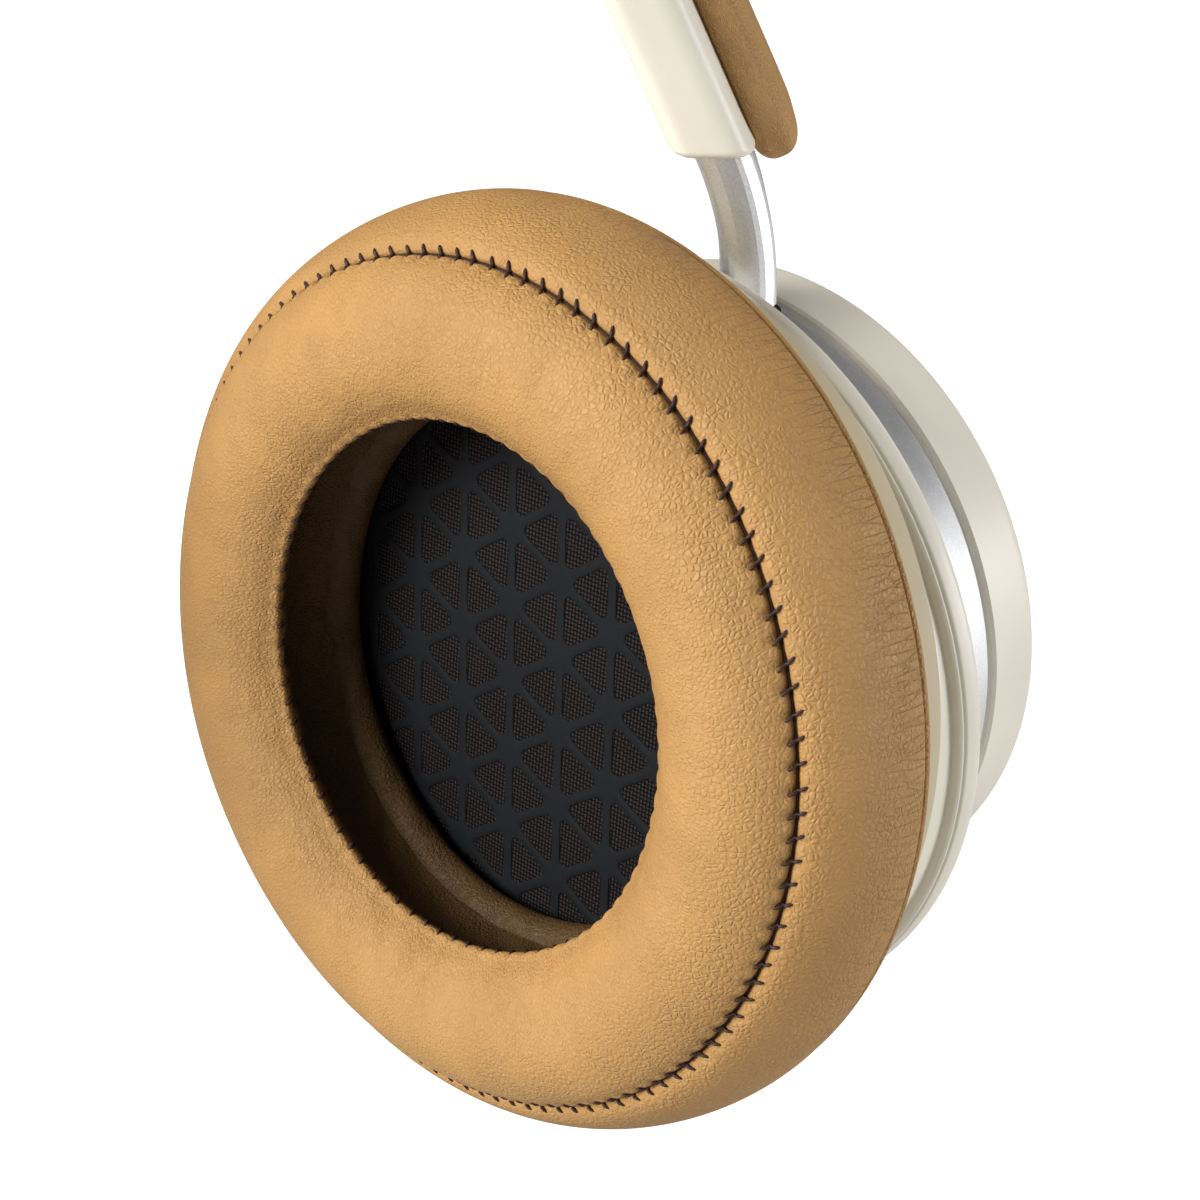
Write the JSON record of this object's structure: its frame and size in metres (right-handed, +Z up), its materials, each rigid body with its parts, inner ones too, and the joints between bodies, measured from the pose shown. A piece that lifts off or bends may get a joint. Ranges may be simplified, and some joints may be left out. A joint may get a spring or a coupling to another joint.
{
  "type": "over ear headphones",
  "caption": "Wireless over-ear headphones: a padded sprung headband, sliding arms, round cups that swivel, and soft ear pads that tilt on the cups.",
  "frame": {"origin": "under the middle of the headphones, at the height of the lowest point of the ear pads", "axes": "+X to the wearer's side that carries the ports, +Y backward, +Z up; the cups are turned 46.5 degrees forward and the ear units rest on their tilt stops"},
  "size_m": [0.2034, 0.0894, 0.1835],
  "materials": {
    "cream_plastic": "satin moulded",
    "caramel_leather": "pebbled, semi matt",
    "satin_aluminium": "bead blasted and anodised",
    "spring_steel": "plain",
    "driver_steel": "dark plated",
    "black_plastic": "moulded",
    "grille_print": "soft matt",
    "black_cloth": "plain weave",
    "driver_film": "thin film",
    "circuit_board": "solder mask",
    "battery_wrap": "foil wrap"
  },
  "bodies": {
    "band": {"band_shell": "cream_plastic", "band_cover": "caramel_leather", "band_cushion": "caramel_leather", "band_spring": "spring_steel", "band_cable": "black_plastic", "right_guide": "black_plastic", "right_detent": "spring_steel", "left_guide": "black_plastic", "left_detent": "spring_steel"},
    "right_arm": {"right_arm": "satin_aluminium", "right_swivel_pin": "spring_steel", "right_pin_clip": "spring_steel"},
    "right_cup": {"right_swivel_bush": "black_plastic", "right_waist": "satin_aluminium", "right_housing": "cream_plastic", "right_mid_plate": "black_plastic", "right_cap": "cream_plastic", "right_cap_disc": "satin_aluminium", "right_tilt_pins": "spring_steel", "right_cup_screws": "spring_steel", "right_mic_mesh": "spring_steel", "right_jack_socket": "black_plastic", "right_usb_port": "spring_steel", "right_circuit_board": "circuit_board"},
    "right_ear": {"right_carrier": "cream_plastic", "right_baffle": "black_plastic", "right_pad": "caramel_leather", "right_grille": "grille_print", "right_grille_cloth": "black_cloth", "right_driver_basket": "driver_steel", "right_magnet": "driver_steel", "right_diaphragm": "driver_film", "right_baffle_screws": "spring_steel"},
    "left_arm": {"left_arm": "satin_aluminium", "left_swivel_pin": "spring_steel", "left_pin_clip": "spring_steel"},
    "left_cup": {"left_swivel_bush": "black_plastic", "left_waist": "satin_aluminium", "left_housing": "cream_plastic", "left_mid_plate": "black_plastic", "left_cap": "cream_plastic", "left_cap_disc": "satin_aluminium", "left_tilt_pins": "spring_steel", "left_cup_screws": "spring_steel", "left_mic_mesh": "spring_steel", "left_battery": "battery_wrap"},
    "left_ear": {"left_carrier": "cream_plastic", "left_baffle": "black_plastic", "left_pad": "caramel_leather", "left_grille": "grille_print", "left_grille_cloth": "black_cloth", "left_driver_basket": "driver_steel", "left_magnet": "driver_steel", "left_diaphragm": "driver_film", "left_baffle_screws": "spring_steel"},
    "right_power_button": {"right_power_button": "satin_aluminium"},
    "right_call_button": {"right_call_button": "satin_aluminium"},
    "left_mode_button": {"left_mode_button": "satin_aluminium"}
  },
  "joints": [
    {"name": "right_arm_slide", "type": "slide", "parent": "band", "child": "right_arm", "axis": [0.4147, 0, -0.91], "range_m": [0, 0.028]},
    {"name": "right_swivel", "type": "hinge", "parent": "right_arm", "child": "right_cup", "pos_m": [0.072, 0.00587, 0.07492], "axis": [0, 0, 1], "range_deg": [-56.5, 43.5]},
    {"name": "right_tilt", "type": "hinge", "parent": "right_cup", "child": "right_ear", "pos_m": [0.06266, 0.00619, 0.04492], "axis": [-0.7254, 0.6884, 0], "range_deg": [-14.4, 0]},
    {"name": "left_arm_slide", "type": "slide", "parent": "band", "child": "left_arm", "axis": [-0.4147, 0, -0.91], "range_m": [0, 0.028]},
    {"name": "left_swivel", "type": "hinge", "parent": "left_arm", "child": "left_cup", "pos_m": [-0.072, 0.00587, 0.07492], "axis": [0, 0, -1], "range_deg": [-56.5, 43.5]},
    {"name": "left_tilt", "type": "hinge", "parent": "left_cup", "child": "left_ear", "pos_m": [-0.06266, 0.00619, 0.04492], "axis": [-0.7254, -0.6884, 0], "range_deg": [-14.4, 0]},
    {"name": "right_power_button_press", "type": "slide", "parent": "right_cup", "child": "right_power_button", "axis": [0.5716, -0.5424, 0.6157], "range_m": [0, 0.0006], "stiffness_N_per_m": 500, "springref_m": -0.0004},
    {"name": "right_call_button_press", "type": "slide", "parent": "right_cup", "child": "right_call_button", "axis": [0.7038, -0.6679, 0.2419], "range_m": [0, 0.0006], "stiffness_N_per_m": 500, "springref_m": -0.0004},
    {"name": "left_mode_button_press", "type": "slide", "parent": "left_cup", "child": "left_mode_button", "axis": [-0.5716, -0.5424, 0.6157], "range_m": [0, 0.0006], "stiffness_N_per_m": 500, "springref_m": -0.0004}
  ]
}
